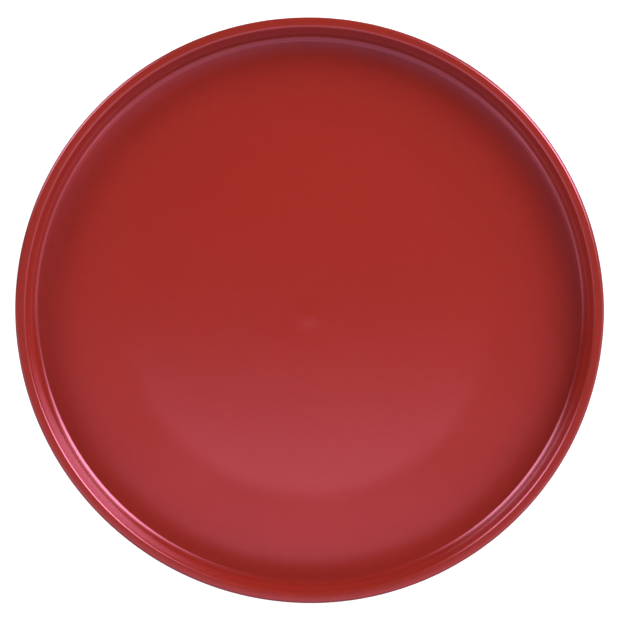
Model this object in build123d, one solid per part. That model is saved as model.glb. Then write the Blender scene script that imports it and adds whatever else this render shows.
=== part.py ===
from build123d import *
import math
import os

# A dinner plate in glazed stoneware, of the kind sold as a walled plate: a flat well, a tight
# cove, a low flared wall with a thick rounded lip, and a raised foot underneath.
#
# The plate is one piece of fired clay in two coats of glaze. The clay is dipped whole and its
# foot is then wiped clean, so the bare foot parts the glaze into a main coat, which covers the
# well, the wall, the lip and the outer underside, and a coat of its own inside the foot.
#
# Frame: millimetres, +Z up, origin at the centre of the foot's contact plane.

# Overall size, over the glaze
RIM_DIAMETER = 265.0
HEIGHT = 24.0
GLAZE = 0.3

# The well, seen from above
WELL_LEVEL = 8.0  # top of the flat ring that another plate's foot stands on, over the glaze
CROWN = 2.0  # how far the middle stands above that flat ring
FLAT_START = 84.0  # the flat ring's inner edge, above the foot
FLAT_EDGE_RADIUS = 160.0  # rounding between the crown and the flat ring
CROWN_SHARE = 0.9  # share of its straight runs that the crown's one arc uses up

# The cove: a slow rise up to a slope in degrees, then a tight arc up to the wall
RISE_SLOPE = 6.5
RISE_RADIUS = 90.0
COVE_RADIUS = 3.3
COVE_SHARE = 0.9  # share of the run between two corners that their arcs use up

# The wall and its lip
FLARE = 9.5  # degrees from upright
LIP_WIDTH = 5.0
LIP_ROUNDING = 1.5

# Below
HEEL_LEVEL = 4.6  # underside at the heel, where the outer wall turns in
HEEL_RADIUS = 8.0
UNDERSIDE_LEVEL = 3.6  # underside where it meets the foot
FOOT_RADIUS = 84.0  # middle of the foot's contact ring
FOOT_WIDTH = 3.6  # at the table
FOOT_DRAFT = 15.0  # degrees from upright, on both flanks
FOOT_ROUNDING = 0.8
FOOT_ROOT_RADIUS = 2.0
FOOT_WELL_LEVEL = 2.6  # ceiling of the hollow inside the foot
GLAZE_LINE = 1.2  # height on the foot below which the glaze is wiped off


def cove_corners(well, lip_inside, top):
    """Corners (radius, height, rounding) of the clay's cove, from the flat ring out to the wall."""
    slopes = [math.radians(degrees) for degrees in (0, RISE_SLOPE, 90 - FLARE)]
    radii = [over_glaze + GLAZE for over_glaze in (RISE_RADIUS, COVE_RADIUS)]
    arcs = list(zip(radii, slopes, slopes[1:]))
    height = well + sum(radius * (math.cos(low) - math.cos(high)) for radius, low, high in arcs)
    distance = lip_inside - (top - height) * math.tan(math.radians(FLARE))
    corners = []
    for radius, low, high in reversed(arcs):
        run = radius * math.tan((high - low) / 2)
        distance -= run * math.cos(high)
        height -= run * math.sin(high)
        corners.insert(0, (distance, height, COVE_SHARE * radius))
        distance -= run * math.cos(low)
        height -= run * math.sin(low)
    return corners


def clay_outline():
    """The clay's half-section: from the top of the axis, over the lip and round to its underside."""
    flare = math.radians(FLARE)
    draft = math.tan(math.radians(FOOT_DRAFT))
    well = WELL_LEVEL - GLAZE
    top = HEIGHT - GLAZE
    lip_rounding = LIP_ROUNDING - GLAZE
    # The wall leans out, so the lip's rounding takes the sharp corner back past its widest point.
    corner_overhang = lip_rounding * (math.tan((math.pi / 2 + flare) / 2) - 1)
    lip_outside = RIM_DIAMETER / 2 - GLAZE + corner_overhang
    lip_inside = lip_outside - LIP_WIDTH + 2 * GLAZE
    heel = lip_outside - (top - HEEL_LEVEL) * math.tan(flare)
    foot_outside = FOOT_RADIUS + FOOT_WIDTH / 2
    foot_inside = FOOT_RADIUS - FOOT_WIDTH / 2
    crown_slope = math.atan(2 * CROWN / FLAT_START)
    crown_radius = CROWN_SHARE * FLAT_START / 2 / math.tan(crown_slope / 2)
    corners = [  # radius, height, rounding
        (FLAT_START / 2, well + CROWN, crown_radius),
        (FLAT_START, well, FLAT_EDGE_RADIUS),
        *cove_corners(well, lip_inside, top),
        (lip_inside, top, lip_rounding),
        (lip_outside, top, lip_rounding),
        (heel, HEEL_LEVEL, HEEL_RADIUS),
        (foot_outside + UNDERSIDE_LEVEL * draft, UNDERSIDE_LEVEL, FOOT_ROOT_RADIUS),
        (foot_outside, 0, FOOT_ROUNDING),
        (foot_inside, 0, FOOT_ROUNDING),
        (foot_inside - FOOT_WELL_LEVEL * draft, FOOT_WELL_LEVEL, FOOT_ROOT_RADIUS),
    ]
    path = [(0, well + CROWN), *((r, z) for r, z, _ in corners), (0, FOOT_WELL_LEVEL)]
    return FilletPolyline(*path, radius=[rounding for _, _, rounding in corners])


def clay_section():
    outline = clay_outline()
    return make_face(outline + Line(outline @ 1, outline @ 0))


def glaze_sections(clay):
    """The coat's half-section, an even skin on the clay, as the main coat and the one inside the foot."""
    skin = offset(clay, amount=GLAZE, kind=Kind.ARC) - clay
    beyond_axis = Pos(-RIM_DIAMETER / 2, 0) * Rectangle(RIM_DIAMETER, RIM_DIAMETER)
    wiped_foot = Pos(FOOT_RADIUS, GLAZE_LINE - HEIGHT / 2) * Rectangle(RIM_DIAMETER, HEIGHT)
    pieces = (skin - beyond_axis - wiped_foot).faces().sort_by(SortBy.AREA)
    return pieces[-1], pieces[-2]


def plate_solid(section):
    return revolve(Plane.XZ * section, axis=Axis.Z)


def main():
    clay = clay_section()
    main_coat, foot_coat = glaze_sections(clay)
    nodes = {
        "stoneware_body": clay,
        "glaze_coat": main_coat,
        "foot_well_glaze": foot_coat,
    }
    os.makedirs("parts", exist_ok=True)
    for name, section in nodes.items():
        export_step(plate_solid(section), f"parts/{name}.step")


main()
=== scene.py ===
import math

import bpy
import numpy as np
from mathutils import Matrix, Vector


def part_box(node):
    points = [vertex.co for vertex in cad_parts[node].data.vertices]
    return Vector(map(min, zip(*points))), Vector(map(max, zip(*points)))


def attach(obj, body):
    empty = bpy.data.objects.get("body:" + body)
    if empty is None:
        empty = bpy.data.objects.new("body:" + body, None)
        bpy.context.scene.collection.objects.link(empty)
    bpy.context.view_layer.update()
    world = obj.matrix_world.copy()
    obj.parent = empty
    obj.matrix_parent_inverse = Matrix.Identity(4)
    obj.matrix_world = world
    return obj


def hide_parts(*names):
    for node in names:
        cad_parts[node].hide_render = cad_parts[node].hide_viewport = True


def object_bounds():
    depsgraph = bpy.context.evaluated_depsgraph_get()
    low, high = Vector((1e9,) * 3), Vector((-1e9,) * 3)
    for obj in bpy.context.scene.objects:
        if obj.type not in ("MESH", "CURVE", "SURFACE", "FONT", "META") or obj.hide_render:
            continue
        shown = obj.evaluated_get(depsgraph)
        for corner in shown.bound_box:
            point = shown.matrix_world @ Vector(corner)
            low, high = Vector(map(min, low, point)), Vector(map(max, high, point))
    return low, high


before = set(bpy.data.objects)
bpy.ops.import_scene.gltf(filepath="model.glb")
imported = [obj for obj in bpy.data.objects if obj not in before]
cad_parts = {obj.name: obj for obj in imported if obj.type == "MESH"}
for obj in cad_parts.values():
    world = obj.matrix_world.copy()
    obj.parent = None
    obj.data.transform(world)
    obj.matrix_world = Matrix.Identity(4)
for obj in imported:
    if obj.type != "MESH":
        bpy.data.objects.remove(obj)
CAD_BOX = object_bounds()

# A walled dinner plate in red satin glaze on buff stoneware, seen from straight above.
#
# Three pieces are lathed from one line, the clay's half-section: the clay body, the main coat of
# glaze and the coat inside the foot. The coats are closed shells on the clay. Each ends on the
# foot in a rounded bead along a slightly wandering line, and the clay below it is bare.

# The clay's half-section in millimetres: four sizes come from the frame's boxes, and the rest
# repeat the CAD source's dimensions under their own names
MM = 0.001
CAD_TOP = CAD_BOX[1]
RIM_RADIUS = CAD_TOP.x / MM
HEIGHT = CAD_TOP.z / MM
GLAZE = (CAD_TOP.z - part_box("stoneware_body")[1].z) / MM
GLAZE_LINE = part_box("glaze_coat")[0].z / MM
WELL_LEVEL = 8.0
CROWN = 2.0
FLAT_START = 84.0
FLAT_EDGE_RADIUS = 160.0
CROWN_SHARE = 0.9
RISE_SLOPE = 6.5
RISE_RADIUS = 90.0
COVE_RADIUS = 3.3
COVE_SHARE = 0.9
FLARE = 9.5
LIP_WIDTH = 5.0
LIP_ROUNDING = 1.5
HEEL_LEVEL = 4.6
HEEL_RADIUS = 8.0
UNDERSIDE_LEVEL = 3.6
FOOT_RADIUS = 84.0
FOOT_WIDTH = 3.6
FOOT_DRAFT = 15.0
FOOT_ROUNDING = 0.8
FOOT_ROOT_RADIUS = 2.0
FOOT_WELL_LEVEL = 2.6

# How finely the surfaces are divided
SEGMENTS = 400
FULL_SEGMENTS_FROM = 64.0  # smaller rings have half as many, and so on inwards
FEWEST_SEGMENTS = 25
FINE = {"turn": 7.0, "run": 2.2}  # degrees and millimetres between rings on the glaze
COARSE = {"turn": 15.0, "run": 5.0}  # on what a coat hides
BARE = {"turn": 6.0, "run": 0.35}  # and on the bare clay
BARE_MARGIN = 2.0  # how far under the glaze the clay is divided as finely as where it is bare
BEAD_STATIONS = (0.02, 0.06, 0.12, 0.2, 0.3, 0.45, 0.6, 0.8, 1.0, 1.3)  # shares of BEAD_LENGTH
SAME_PLACE = 0.001  # millimetres: places nearer than this are one

# The kiln's and the glazer's small errors, in millimetres
OUT_OF_ROUND = 0.003  # share of the radius at the rim
LONG_AXIS = math.radians(-17)
RIM_LIFT = 0.12
LIFT_PHASE = 1.0  # radians, that turn the lifted sides from the axes
POOLING = 0.22  # share that the coat is thicker in hollows and thinner on edges
SHARP_TURN = 30.0  # degrees, that a hollow or an edge turns at least
HOLLOW_POOL_AND_SHADE_REACH = (12.5, 1.2)  # how far glaze pools before a hollow and after it; the coat's tone follows it, so before the cove it also darkens the floor near the wall as painted shade
EDGE_REACH = (1.2, 1.2)
LIP_LEAN = 0.11  # that it is thinner at the lip's inner edge and thicker at its outer edge
BEAD = 0.4  # share that it is thicker in the bead at its end
BEAD_LENGTH = 0.9
EDGE_ROUNDING = 0.35
WANDER = 0.28  # of the glaze line, along the foot's flank
WANDER_TURNS = (3, 5, 8, 13, 21, 34)  # waves in one turn round the foot
WANDER_REACH = 5.0
SWELL = (0.016, 38.0)  # height and length of the slow waves in the glaze
RIPPLE = (0.005, 10.0)
CLAY_GRAIN = (0.012, 2.6)  # and of the grain on the bare clay
NUB = (0.19, 7.0)  # height and radius of the spot left in the middle of the well
NUB_PLACE = (-0.5, -2.4)
SEED = 795

# The glaze. Its tone follows its depth: pooled and darker at 0, the usual red in the middle, and
# thin and browner at 1. Where the pooled tones spread over the floor before the cove, they are
# painted shade from the wall. Colours stand at places along the tone.
USUAL_TONE = 0.5
TONE_PER_DEPTH_AND_SHADE = -1.6
MOTTLES = ((45.0, 2.0), (4.0, 3.0), (0.9, 2.0))  # size in millimetres and detail
MOTTLING = 0.2  # how far each of them moves the tone
GLAZE_AND_SHADE_COLOURS = (
    (0.0, (0.164, 0.0112, 0.0073)),
    (0.15, (0.195, 0.0140, 0.0092)),
    (0.5, (0.240, 0.0176, 0.0117)),
    (0.65, (0.250, 0.0192, 0.0124)),
    (0.85, (0.207, 0.0172, 0.0113)),
    (1.0, (0.185, 0.0168, 0.0108)),
)
GLAZE_ROUGHNESS = (0.145, 0.19)
GLAZE_IOR = 1.87
GLAZE_GLOSS_TINT = (1.0, 0.35, 0.57, 1.0)

# The bare clay, from its iron specks to its palest grains
CLAY_COLOURS = (
    (0.0, (0.16, 0.095, 0.055)),
    (0.4, (0.50, 0.375, 0.255)),
    (1.0, (0.68, 0.56, 0.42)),
)
CLAY_ROUGHNESS = (0.68, 0.9)
CLAY_IOR = 1.45

# Camera, in metres: straight above, with the plate a little left of and below the middle
LIP_ABOVE_TABLE = HEIGHT * MM
CAMERA_ABOVE_LIP = 1.3
CAMERA_OFFSET = (0.194 * MM, 0.545 * MM)
PLATE_SHARE = 0.9487  # of the picture's width that the plate takes up
SENSOR = 36.0

# Softboxes: azimuth from +X and elevation in degrees, half width and half height in degrees as
# seen from the plate, and radiance
LIGHT_DISTANCE = 3.5
SOFT_EDGE = 0.15  # how far a softbox fades inside and outside its size, as a share of its distance
SOFTBOXES = {
    "key": (37.8, 36.7, 12.0, 27.1, 11.4),
    "second": (140.0, 26.8, 13.0, 20.8, 7.1),
    "front_fill": (-90.2, 33.0, 49.4, 25.0, 1.08),
    "right_fill": (-20.0, 26.8, 22.0, 21.7, 1.26),
    "left_fill": (-158.5, 28.0, 20.0, 20.6, 1.28),
    "overhead": (-92.5, 73.4, 23.0, 9.8, 1.56),
    "back_fill": (59.9, 23.4, 10.0, 9.2, 0.55),
}
AMBIENT = 0.02
HORIZON = 0.3  # the studio's wall, seen level
HORIZON_BAND = (-0.05, 0.15)  # heights between which the wall fades into the dim ceiling
TABLE_RADIUS = 40.0
TABLE_SEGMENTS = 64
TABLE_DROP = 0.05 * MM  # that keeps the table's face off the foot's
TABLE_GLOW = 0.8  # the table is a sheet lit from below
TABLE_ALBEDO = 0.4


def cove_corners(well, lip_inside, top):
    """Corners (radius, height, rounding) of the clay's cove, from the flat ring out to the wall."""
    slopes = [math.radians(degrees) for degrees in (0, RISE_SLOPE, 90 - FLARE)]
    radii = [over_glaze + GLAZE for over_glaze in (RISE_RADIUS, COVE_RADIUS)]
    arcs = list(zip(radii, slopes, slopes[1:]))
    height = well + sum(radius * (math.cos(low) - math.cos(high)) for radius, low, high in arcs)
    distance = lip_inside - (top - height) * math.tan(math.radians(FLARE))
    corners = []
    for radius, low, high in reversed(arcs):
        run = radius * math.tan((high - low) / 2)
        distance -= run * math.cos(high)
        height -= run * math.sin(high)
        corners.insert(0, (distance, height, COVE_SHARE * radius))
        distance -= run * math.cos(low)
        height -= run * math.sin(low)
    return corners


def clay_corners():
    """Corners (radius, height, rounding) from the well's middle over the lip to the foot's hollow."""
    flare = math.radians(FLARE)
    draft = math.tan(math.radians(FOOT_DRAFT))
    well = WELL_LEVEL - GLAZE
    top = HEIGHT - GLAZE
    lip_rounding = LIP_ROUNDING - GLAZE
    corner_overhang = lip_rounding * (math.tan((math.pi / 2 + flare) / 2) - 1)
    lip_outside = RIM_RADIUS - GLAZE + corner_overhang
    lip_inside = lip_outside - LIP_WIDTH + 2 * GLAZE
    heel = lip_outside - (top - HEEL_LEVEL) * math.tan(flare)
    foot_outside = FOOT_RADIUS + FOOT_WIDTH / 2
    foot_inside = FOOT_RADIUS - FOOT_WIDTH / 2
    crown_slope = math.atan(2 * CROWN / FLAT_START)
    crown_radius = CROWN_SHARE * FLAT_START / 2 / math.tan(crown_slope / 2)
    return [
        (FLAT_START / 2, well + CROWN, crown_radius),
        (FLAT_START, well, FLAT_EDGE_RADIUS),
        *cove_corners(well, lip_inside, top),
        (lip_inside, top, lip_rounding),
        (lip_outside, top, lip_rounding),
        (heel, HEEL_LEVEL, HEEL_RADIUS),
        (foot_outside + UNDERSIDE_LEVEL * draft, UNDERSIDE_LEVEL, FOOT_ROOT_RADIUS),
        (foot_outside, 0, FOOT_ROUNDING),
        (foot_inside, 0, FOOT_ROUNDING),
        (foot_inside - FOOT_WELL_LEVEL * draft, FOOT_WELL_LEVEL, FOOT_ROOT_RADIUS),
    ]


class ClayLine:
    """The clay's half-section as a line from the middle of the well round to the foot's hollow.

    Places on it are distances along it, in millimetres. spans holds its straight runs and arcs as
    (start, end, turn), where turn is in degrees and positive in a hollow. lip holds where the arcs
    at the lip's inner and outer edges start and end.
    """

    ARC_STEP = 1.0  # millimetres, and degrees, between the points that the line is kept as

    def __init__(self, corners):
        places = [(0, corners[0][1]), *((r, z) for r, z, _ in corners), (0, corners[-1][1])]
        places = [np.array(place, float) for place in places]
        self.points = [places[0]]
        self.angles = [0.0]
        self.spans = []
        self.length = 0.0
        for before, corner, after, (_, _, rounding) in zip(places, places[1:], places[2:], corners):
            self._add_arc(before, corner, after, rounding)
        self._add_point(places[-1], self.angles[-1])
        self.points = np.array(self.points)
        self.angles = np.array(self.angles)
        steps = np.linalg.norm(np.diff(self.points, axis=0), axis=1)
        self.distances = np.concatenate([[0.0], np.cumsum(steps)])
        edges = [(start, end) for start, end, turn in self.spans if turn < -SHARP_TURN]
        self.lip = (*edges[0], *edges[1])

    def _add_point(self, point, angle):
        start = self.length
        self.length += float(np.linalg.norm(point - self.points[-1]))
        self.points.append(point)
        self.angles.append(angle)
        self.spans.append((start, self.length, 0.0))

    def _add_arc(self, before, corner, after, rounding):
        heading = math.atan2(*(corner - before)[::-1])
        turn = (math.atan2(*(after - corner)[::-1]) - heading + math.pi) % (2 * math.pi) - math.pi
        tangent = rounding * math.tan(abs(turn) / 2)
        start = corner - tangent * np.array([math.cos(heading), math.sin(heading)])
        self._add_point(start, heading)
        arc_start = self.length
        spans = len(self.spans)
        side = math.copysign(1.0, turn)
        centre = start + side * rounding * np.array([-math.sin(heading), math.cos(heading)])
        step = max(math.degrees(abs(turn)), rounding * abs(turn)) / self.ARC_STEP
        for share in np.linspace(0, 1, math.ceil(step) + 1)[1:]:
            angle = heading + share * turn
            spoke = side * rounding * np.array([math.sin(angle), -math.cos(angle)])
            self._add_point(centre + spoke, angle)
        del self.spans[spans:]
        self.spans.append((arc_start, self.length, math.degrees(turn)))

    def at(self, distance):
        """Radius, height and outward normal at distances along the line."""
        radius, height = (np.interp(distance, self.distances, self.points[:, k]) for k in (0, 1))
        angle = np.interp(distance, self.distances, np.unwrap(self.angles))
        return radius, height, -np.sin(angle), np.cos(angle)

    def where(self, height, near):
        """The distance at which the line crosses a height, nearest to a radius."""
        levels = self.points[:, 1] - height
        crossings = np.nonzero(levels[:-1] * levels[1:] <= 0)[0]
        nearest = min(crossings, key=lambda k: abs(self.points[k, 0] - near))
        share = levels[nearest] / (levels[nearest] - levels[nearest + 1])
        return self.distances[nearest] + share * np.diff(self.distances)[nearest]

    def stations(self, start, end, turn, run):
        """Distances between start and end, at most turn degrees and run millimetres apart."""
        found = [start, end]
        for span_start, span_end, span_turn in self.spans:
            low, high = max(start, span_start), min(end, span_end)
            if high - low > 0:
                parts = max((high - low) / run, abs(span_turn) / turn, 1)
                found += list(np.linspace(low, high, math.ceil(parts) + 1))
        found = sorted(found)
        apart = [found[0]]
        for place in found[1:]:
            if place - apart[-1] > SAME_PLACE:
                apart.append(place)
        apart[-1] = end
        return apart

    def hollowness(self, distance):
        """From 1 in a tight hollow, fading out over the ground before it, to -1 on a sharp edge."""
        total = np.zeros_like(distance)
        for start, end, turn in self.spans:
            if abs(turn) > SHARP_TURN:
                before, after = HOLLOW_POOL_AND_SHADE_REACH if turn > 0 else EDGE_REACH
                gap = np.maximum((start - distance) / before, 0) + np.maximum((distance - end) / after, 0)
                total += math.copysign(1.0, turn) * np.exp(-(gap**2))
        return np.clip(total, -1, 1)


class Waves:
    """Smooth random waves of one height and length, the same on every run."""

    COUNT = 40

    def __init__(self, random, height, length):
        headings = random.normal(size=(self.COUNT, 3))
        headings /= np.linalg.norm(headings, axis=1)[:, None]
        rates = 2 * math.pi / (length * random.uniform(0.75, 1.5, self.COUNT))
        self.waves = headings * rates[:, None]
        self.phases = random.uniform(0, 2 * math.pi, self.COUNT)
        self.scale = height * math.sqrt(2 / self.COUNT)

    def at(self, points):
        return self.scale * np.sin(points @ self.waves.T + self.phases).sum(axis=1)


def smooth_step(x):
    x = np.clip(x, 0, 1)
    return x * x * (3 - 2 * x)


def around(count):
    return np.arange(count) * (2 * math.pi / count)


def spun(radius, height, angle):
    return np.stack([radius * np.cos(angle), radius * np.sin(angle), height + 0 * angle], axis=1)


def warped(points):
    """Points moved as the whole plate moved in the kiln: its rim is a little out of round and lifted."""
    radius = np.hypot(points[:, 0], points[:, 1])
    angle = np.arctan2(points[:, 1], points[:, 0])
    outwards = (radius / RIM_RADIUS) ** 2
    stretch = 1 + OUT_OF_ROUND * outwards * np.cos(2 * (angle - LONG_AXIS))
    beyond_foot = np.clip((radius - FOOT_RADIUS) / (RIM_RADIUS - FOOT_RADIUS), 0, 1) ** 2
    lift = RIM_LIFT * beyond_foot * np.cos(2 * angle + LIFT_PHASE)
    return np.stack([points[:, 0] * stretch, points[:, 1] * stretch, points[:, 2] + lift], axis=1)


def segments_at(radius):
    count, limit = SEGMENTS, FULL_SEGMENTS_FROM
    while radius < limit and count > FEWEST_SEGMENTS:
        count //= 2
        limit /= 2
    return count


def ring_angles(radius):
    """The angles of a ring's points: fewer on a smaller ring, and one point on the axis."""
    return around(segments_at(radius)) if radius > SAME_PLACE else np.zeros(1)


class Coat:
    """A coat of glaze on the clay from one distance along its line to another."""

    def __init__(self, line, start, end, open_end, random):
        self.line, self.start, self.end = line, start, end
        self.open_end = open_end  # the distance at which the coat stops on the foot
        self.swell = Waves(random, *SWELL)
        self.ripple = Waves(random, *RIPPLE)
        self.wander_phases = random.uniform(0, 2 * math.pi, len(WANDER_TURNS))

    def wander(self, angle):
        waves = [np.sin(n * angle + phase) / n**0.5 for n, phase in zip(WANDER_TURNS, self.wander_phases)]
        return WANDER * sum(waves)

    def thickness(self, distance):
        """The coat's thickness and how deep it is compared with its usual depth, which also sets its tone,
        painted shade near the wall included.
        """
        from_end = np.abs(distance - self.open_end)
        bead = BEAD * np.exp(-(((from_end - BEAD_LENGTH) / BEAD_LENGTH) ** 2))
        depth = 1 + POOLING * self.line.hollowness(distance) + bead
        inside_edge = np.clip(from_end / EDGE_ROUNDING, 0, 1)
        lean = LIP_LEAN * np.interp(distance, self.line.lip, (0, -1, 1, 0))
        return GLAZE * depth * np.sqrt(1 - (1 - inside_edge) ** 2) + lean, depth

    def nub(self, points):
        height, radius = NUB
        from_nub = np.hypot(points[:, 0] - NUB_PLACE[0], points[:, 1] - NUB_PLACE[1])
        return height * (1 - smooth_step(from_nub / radius)) * (points[:, 2] > FOOT_WELL_LEVEL)

    def ring(self, station, outer):
        """The ring of points at a station, on the coat's outer face or on the clay under it."""
        angle = ring_angles(float(self.line.at(station)[0]))
        from_end = abs(station - self.open_end)
        nearness = 1 - smooth_step(from_end / WANDER_REACH)
        radius, height, out_r, out_z = self.line.at(station + nearness * self.wander(angle))
        flat = np.full_like(angle, station)
        thickness, depth = self.thickness(flat)
        if not outer:
            return spun(radius, height, angle), depth
        points = spun(radius, height, angle)
        waves = self.swell.at(points) + self.ripple.at(points) + self.nub(points)
        raised = thickness + waves * smooth_step(from_end / BEAD_LENGTH)
        return spun(radius + raised * out_r, height + raised * out_z, angle), depth

    def rings(self):
        """Rings of the closed shell: along the outer face and back along the clay."""
        bead = [self.open_end + side * BEAD_LENGTH * share for side in (-1, 1) for share in BEAD_STATIONS]
        fine = self.line.stations(self.start, self.end, **FINE)
        fine = sorted(set(fine + [place for place in bead if self.start < place < self.end]))
        coarse = self.line.stations(self.start, self.end, **COARSE)
        closing = [place for place in reversed(coarse) if place != self.open_end]
        if self.open_end == self.start:
            fine = fine[::-1]
            closing = closing[::-1]
        return [self.ring(s, True) for s in fine] + [self.ring(s, False) for s in closing]


def stitched(rings):
    """Faces that join rings in their order, where a ring has as many points as the next, twice or half."""
    faces, first = [], 0
    for ring, following in zip(rings, rings[1:]):
        here, there = len(ring), len(following)
        second = first + here
        count = min(here, there)
        for j in range(count):
            k = (j + 1) % count
            if count == 1:
                faces += fan(first, second, max(here, there), here == 1)
            elif here == there:
                faces.append((first + j, second + j, second + k, first + k))
            elif here > there:
                a, b, c = first + 2 * j, first + 2 * j + 1, first + (2 * j + 2) % here
                faces += [(a, second + j, b), (b, second + j, second + k), (b, second + k, c)]
            else:
                a, b, c = second + 2 * j, second + 2 * j + 1, second + (2 * j + 2) % there
                faces += [(first + j, a, b), (first + j, b, first + k), (first + k, b, c)]
        first = second
    return faces


def fan(first, second, count, from_pole):
    """Triangles between a pole and the ring next to it."""
    pole, ring = (first, second) if from_pole else (second, first)
    pairs = [(ring + j, ring + (j + 1) % count) for j in range(count)]
    return [(pole, a, b) if from_pole else (a, pole, b) for a, b in pairs]


def placed(name, data):
    """A new object in the scene."""
    made = bpy.data.objects.new(name, data)
    bpy.context.scene.collection.objects.link(made)
    return made


def lathed(name, rings, depths):
    """A mesh object from rings of points in millimetres, with the coat's depth, which also carries painted
    shade near the wall, kept on its points.
    """
    mesh = bpy.data.meshes.new(name)
    points = warped(np.concatenate(rings)) * MM
    mesh.from_pydata(points.tolist(), [], stitched(rings))
    mesh.shade_smooth()
    attribute = mesh.attributes.new("glaze_depth_and_shade", "FLOAT", "POINT")
    attribute.data.foreach_set("value", np.concatenate(depths).astype(np.float32))
    mesh.update()
    return placed(name, mesh)


def coat_piece(name, coat):
    rings, depths = zip(*coat.rings())
    return lathed(name, rings, depths)


def clay_piece(name, line, bare, random):
    """The clay body. Its bare foot, between the two glaze lines, is the part that shows."""
    grain = Waves(random, *CLAY_GRAIN)
    low, high = bare[0] - BARE_MARGIN, bare[1] + BARE_MARGIN
    shown = line.stations(low, high, **BARE)
    hidden = line.stations(0, low, **COARSE) + line.stations(high, line.length, **COARSE)
    rings = []
    for station in sorted(set(hidden + shown)):
        radius, height, out_r, out_z = (float(value) for value in line.at(station))
        angle = ring_angles(radius)
        points = spun(radius, height, angle)
        worn = grain.at(points) * (bare[0] < station < bare[1])
        points = spun(radius + worn * out_r, np.maximum(height + worn * out_z, 0.0), angle)
        rings.append(points)
    return lathed(name, rings, [np.ones(len(ring)) for ring in rings])


def add_node(tree, kind, settings=None, **inputs):
    """A shader node with its settings and inputs. An input is a value or another node's socket."""
    made = tree.nodes.new(kind)
    for name, value in (settings or {}).items():
        setattr(made, name, value)
    for name, value in inputs.items():
        socket = made.inputs[name.replace("_", " ")]
        if isinstance(value, bpy.types.NodeSocket):
            tree.links.new(value, socket)
        else:
            socket.default_value = value
    return made


def calculate(tree, operation, *values):
    made = add_node(tree, "ShaderNodeMath", {"operation": operation})
    for socket, value in zip(made.inputs, values):
        if isinstance(value, bpy.types.NodeSocket):
            tree.links.new(value, socket)
        else:
            socket.default_value = value
    return made.outputs[0]


def new_material(name):
    material = bpy.data.materials.new(name)
    material.use_nodes = True
    material.node_tree.nodes.clear()
    return material, material.node_tree


def finish_material(tree, shader):
    output = add_node(tree, "ShaderNodeOutputMaterial")
    tree.links.new(shader.outputs[0], output.inputs["Surface"])


def noise(tree, place, size, detail=2.0, roughness=0.5):
    """Noise from 0 to 1 whose features are about size millimetres across."""
    made = add_node(
        tree, "ShaderNodeTexNoise", Vector=place, Scale=1 / (size * MM), Detail=detail, Roughness=roughness,
    )
    return made.outputs["Fac"]


def varied(tree, value, found, wanted):
    """A value's usual span, mapped on to another."""
    made = add_node(
        tree, "ShaderNodeMapRange", Value=value,
        From_Min=found[0], From_Max=found[1], To_Min=wanted[0], To_Max=wanted[1],
    )
    return made.outputs[0]


def spots(tree, place, spacing, size, share):
    """1 in round spots of about size millimetres, in that share of cells spacing millimetres wide."""
    cells = add_node(tree, "ShaderNodeTexVoronoi", Vector=place, Scale=1 / (spacing * MM), Randomness=1.0)
    near = add_node(
        tree, "ShaderNodeMapRange", {"interpolation_type": "SMOOTHSTEP"}, Value=cells.outputs["Distance"],
        From_Min=size / spacing / 2, From_Max=size / spacing / 4, To_Min=0.0, To_Max=1.0,
    )
    lottery = add_node(tree, "ShaderNodeSeparateColor", Color=cells.outputs["Color"])
    chosen = calculate(tree, "LESS_THAN", lottery.outputs[0], share)
    return calculate(tree, "MULTIPLY", near.outputs[0], chosen)


def colour_ramp(tree, fac, stops):
    ramp = add_node(tree, "ShaderNodeValToRGB", Fac=fac)
    elements = ramp.color_ramp.elements
    while len(elements) < len(stops):
        elements.new(0.5)
    for element, (position, colour) in zip(elements, stops):
        element.position = position
        element.color = (*colour, 1)
    return ramp.outputs["Color"]


def glaze_material():
    """Red satin glaze: deeper where it pools, with painted shade on the floor near the wall, thinner on
    edges, faintly mottled and specked.
    """
    material, tree = new_material("red_satin_glaze")
    place = add_node(tree, "ShaderNodeTexCoord").outputs["Object"]
    depth = add_node(tree, "ShaderNodeAttribute", {"attribute_name": "glaze_depth_and_shade"}).outputs["Fac"]
    # Darker tone where the coat is deep: real pooling in the hollows, and painted shade where it spreads
    # over the floor before the cove
    tone = calculate(tree, "MULTIPLY_ADD", depth, TONE_PER_DEPTH_AND_SHADE, USUAL_TONE - TONE_PER_DEPTH_AND_SHADE)
    for size, detail in MOTTLES:
        centred = calculate(tree, "SUBTRACT", noise(tree, place, size, detail), 0.5)
        tone = calculate(tree, "MULTIPLY_ADD", centred, MOTTLING, tone)
    specks = spots(tree, place, spacing=2.2, size=0.7, share=0.16)
    tone = calculate(tree, "MULTIPLY_ADD", specks, -0.22, tone)
    colour = colour_ramp(tree, tone, GLAZE_AND_SHADE_COLOURS)
    roughness = varied(tree, noise(tree, place, 1.6, 3.0), (0.3, 0.7), GLAZE_ROUGHNESS)
    pits = spots(tree, place, spacing=9.0, size=0.55, share=0.12)
    skin = calculate(tree, "MULTIPLY", noise(tree, place, 1.3, 2.0), 0.05)
    relief = calculate(tree, "MULTIPLY_ADD", pits, -0.5, skin)
    bump = add_node(tree, "ShaderNodeBump", Height=relief, Strength=1.0, Distance=0.02 * MM)
    shader = add_node(
        tree, "ShaderNodeBsdfPrincipled", Base_Color=colour, Roughness=roughness,
        IOR=GLAZE_IOR, Specular_Tint=GLAZE_GLOSS_TINT, Normal=bump.outputs[0],
    )
    finish_material(tree, shader)
    return material


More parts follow.
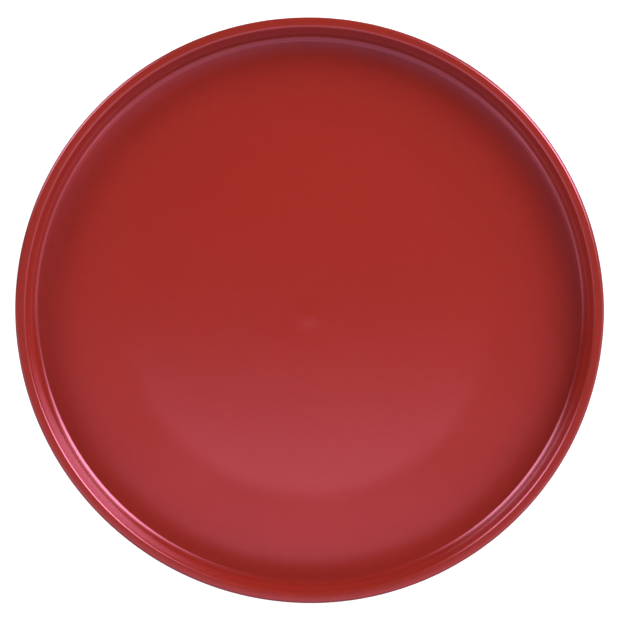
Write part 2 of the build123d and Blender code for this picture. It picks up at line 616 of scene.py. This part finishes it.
def clay_material():
    """Bare fired clay: buff and grainy, with turning lines and iron specks."""
    material, tree = new_material("bare_buff_stoneware")
    place = add_node(tree, "ShaderNodeTexCoord").outputs["Object"]
    axes = add_node(tree, "ShaderNodeSeparateXYZ", Vector=place)
    x, y, z = axes.outputs
    squares = [calculate(tree, "POWER", across, 2) for across in (x, y)]
    from_axis = calculate(tree, "SQRT", calculate(tree, "ADD", *squares))
    lines = add_node(tree, "ShaderNodeCombineXYZ", X=from_axis, Y=z, Z=0.0)
    turning = noise(tree, lines.outputs[0], 0.35, 2.0)
    grain = noise(tree, place, 0.5, 4.0, 0.65)
    cloud = noise(tree, place, 14.0, 3.0)
    specks = spots(tree, place, spacing=1.3, size=0.5, share=0.2)
    tone = calculate(tree, "MULTIPLY_ADD", grain, 0.35, 0.1)
    tone = calculate(tree, "MULTIPLY_ADD", cloud, 0.35, tone)
    tone = calculate(tree, "MULTIPLY_ADD", turning, 0.2, tone)
    tone = calculate(tree, "MULTIPLY_ADD", specks, -0.5, tone)
    colour = colour_ramp(tree, tone, CLAY_COLOURS)
    height = calculate(tree, "MULTIPLY_ADD", grain, 0.7, turning)
    bump = add_node(tree, "ShaderNodeBump", Height=height, Strength=0.8, Distance=0.06 * MM)
    roughness = varied(tree, grain, (0.2, 0.8), CLAY_ROUGHNESS)
    shader = add_node(
        tree, "ShaderNodeBsdfPrincipled", Base_Color=colour, Roughness=roughness,
        IOR=CLAY_IOR, Normal=bump.outputs[0],
    )
    finish_material(tree, shader)
    return material


def dress(piece, material, node):
    """Gives a piece its material and its place in the part."""
    piece.data.materials.append(material)
    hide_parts(node)
    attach(piece, "root")


def build_plate():
    random = np.random.default_rng(SEED)
    line = ClayLine(clay_corners())
    outer_edge = line.where(GLAZE_LINE, near=FOOT_RADIUS + FOOT_WIDTH / 2)
    inner_edge = line.where(GLAZE_LINE, near=FOOT_RADIUS - FOOT_WIDTH / 2)
    glaze = glaze_material()
    main_coat = coat_piece("glaze_main", Coat(line, 0.0, outer_edge, outer_edge, random))
    foot_coat = coat_piece("glaze_in_foot", Coat(line, inner_edge, line.length, inner_edge, random))
    clay = clay_piece("stoneware", line, (outer_edge, inner_edge), random)
    dress(main_coat, glaze, "glaze_coat")
    dress(foot_coat, glaze, "foot_well_glaze")
    dress(clay, clay_material(), "stoneware_body")


def build_table():
    """A wide pale sheet, lit from below so that the plate's shadow on it is faint."""
    mesh = bpy.data.meshes.new("table")
    rings = [np.zeros((1, 3)), spun(TABLE_RADIUS, 0.0, around(TABLE_SEGMENTS))]
    points = np.concatenate(rings) - [0, 0, TABLE_DROP]
    mesh.from_pydata(points.tolist(), [], stitched(rings))
    mesh.update()
    table = placed("table", mesh)
    material, tree = new_material("pale_sheet")
    shader = add_node(
        tree, "ShaderNodeBsdfPrincipled", Base_Color=(TABLE_ALBEDO,) * 3 + (1,), Roughness=0.8,
        Emission_Color=(1, 1, 1, 1), Emission_Strength=TABLE_GLOW,
    )
    finish_material(tree, shader)
    mesh.materials.append(material)
    table.visible_diffuse = False
    table.visible_glossy = False


def build_world():
    """A dim studio with a pale wall round the horizon."""
    world = bpy.data.worlds.new("studio")
    world.use_nodes = True
    tree = world.node_tree
    tree.nodes.clear()
    heading = add_node(tree, "ShaderNodeTexCoord").outputs["Generated"]
    axes = add_node(tree, "ShaderNodeSeparateXYZ", Vector=heading)
    level = add_node(
        tree, "ShaderNodeMapRange", {"interpolation_type": "SMOOTHSTEP"}, Value=axes.outputs["Z"],
        From_Min=HORIZON_BAND[0], From_Max=HORIZON_BAND[1], To_Min=HORIZON, To_Max=AMBIENT,
    )
    background = add_node(tree, "ShaderNodeBackground", Color=(1, 1, 1, 1), Strength=level.outputs[0])
    output = add_node(tree, "ShaderNodeOutputWorld")
    tree.links.new(background.outputs[0], output.inputs["Surface"])
    bpy.context.scene.world = world


def fade_edges(light):
    """Dims a softbox gradually towards its edges."""
    light.use_nodes = True
    tree = light.node_tree
    panel = add_node(tree, "ShaderNodeNewGeometry").outputs["Parametric"]
    places = add_node(tree, "ShaderNodeSeparateXYZ", Vector=panel).outputs
    strength = 1.0
    for place, size in zip(places, (light.size, light.size_y)):
        from_middle = calculate(tree, "ABSOLUTE", calculate(tree, "SUBTRACT", place, 0.5))
        fade = add_node(
            tree, "ShaderNodeMapRange", {"interpolation_type": "SMOOTHSTEP"}, Value=from_middle,
            From_Min=0.5, From_Max=0.5 - 2 * SOFT_EDGE * LIGHT_DISTANCE / size, To_Min=0.0, To_Max=1.0,
        )
        strength = calculate(tree, "MULTIPLY", strength, fade.outputs[0])
    tree.links.new(strength, tree.nodes["Emission"].inputs["Strength"])


def build_softbox(name, azimuth, elevation, half_width, half_height, radiance):
    azimuth, elevation = math.radians(azimuth), math.radians(elevation)
    level = math.cos(elevation)
    towards = Vector((level * math.cos(azimuth), level * math.sin(azimuth), math.sin(elevation)))
    light = bpy.data.lights.new(name, "AREA")
    light.shape = "RECTANGLE"
    light.size = 2 * LIGHT_DISTANCE * (math.tan(math.radians(half_width)) + SOFT_EDGE)
    light.size_y = 2 * LIGHT_DISTANCE * (math.tan(math.radians(half_height)) + SOFT_EDGE)
    light.energy = radiance * math.pi * light.size * light.size_y
    fade_edges(light)
    softbox = placed(name, light)
    softbox.location = towards * LIGHT_DISTANCE
    softbox.rotation_euler = towards.to_track_quat("Z", "Y").to_euler()
    softbox.visible_camera = False


def build_camera():
    data = bpy.data.cameras.new("camera")
    data.sensor_width = SENSOR
    data.lens = SENSOR * CAMERA_ABOVE_LIP * PLATE_SHARE / (2 * RIM_RADIUS * MM)
    camera = placed("camera", data)
    camera.location = (*CAMERA_OFFSET, LIP_ABOVE_TABLE + CAMERA_ABOVE_LIP)
    bpy.context.scene.camera = camera


build_plate()
build_table()
build_world()
for name, settings in SOFTBOXES.items():
    build_softbox(name, *settings)
build_camera()
bpy.context.scene.view_settings.view_transform = "Standard"
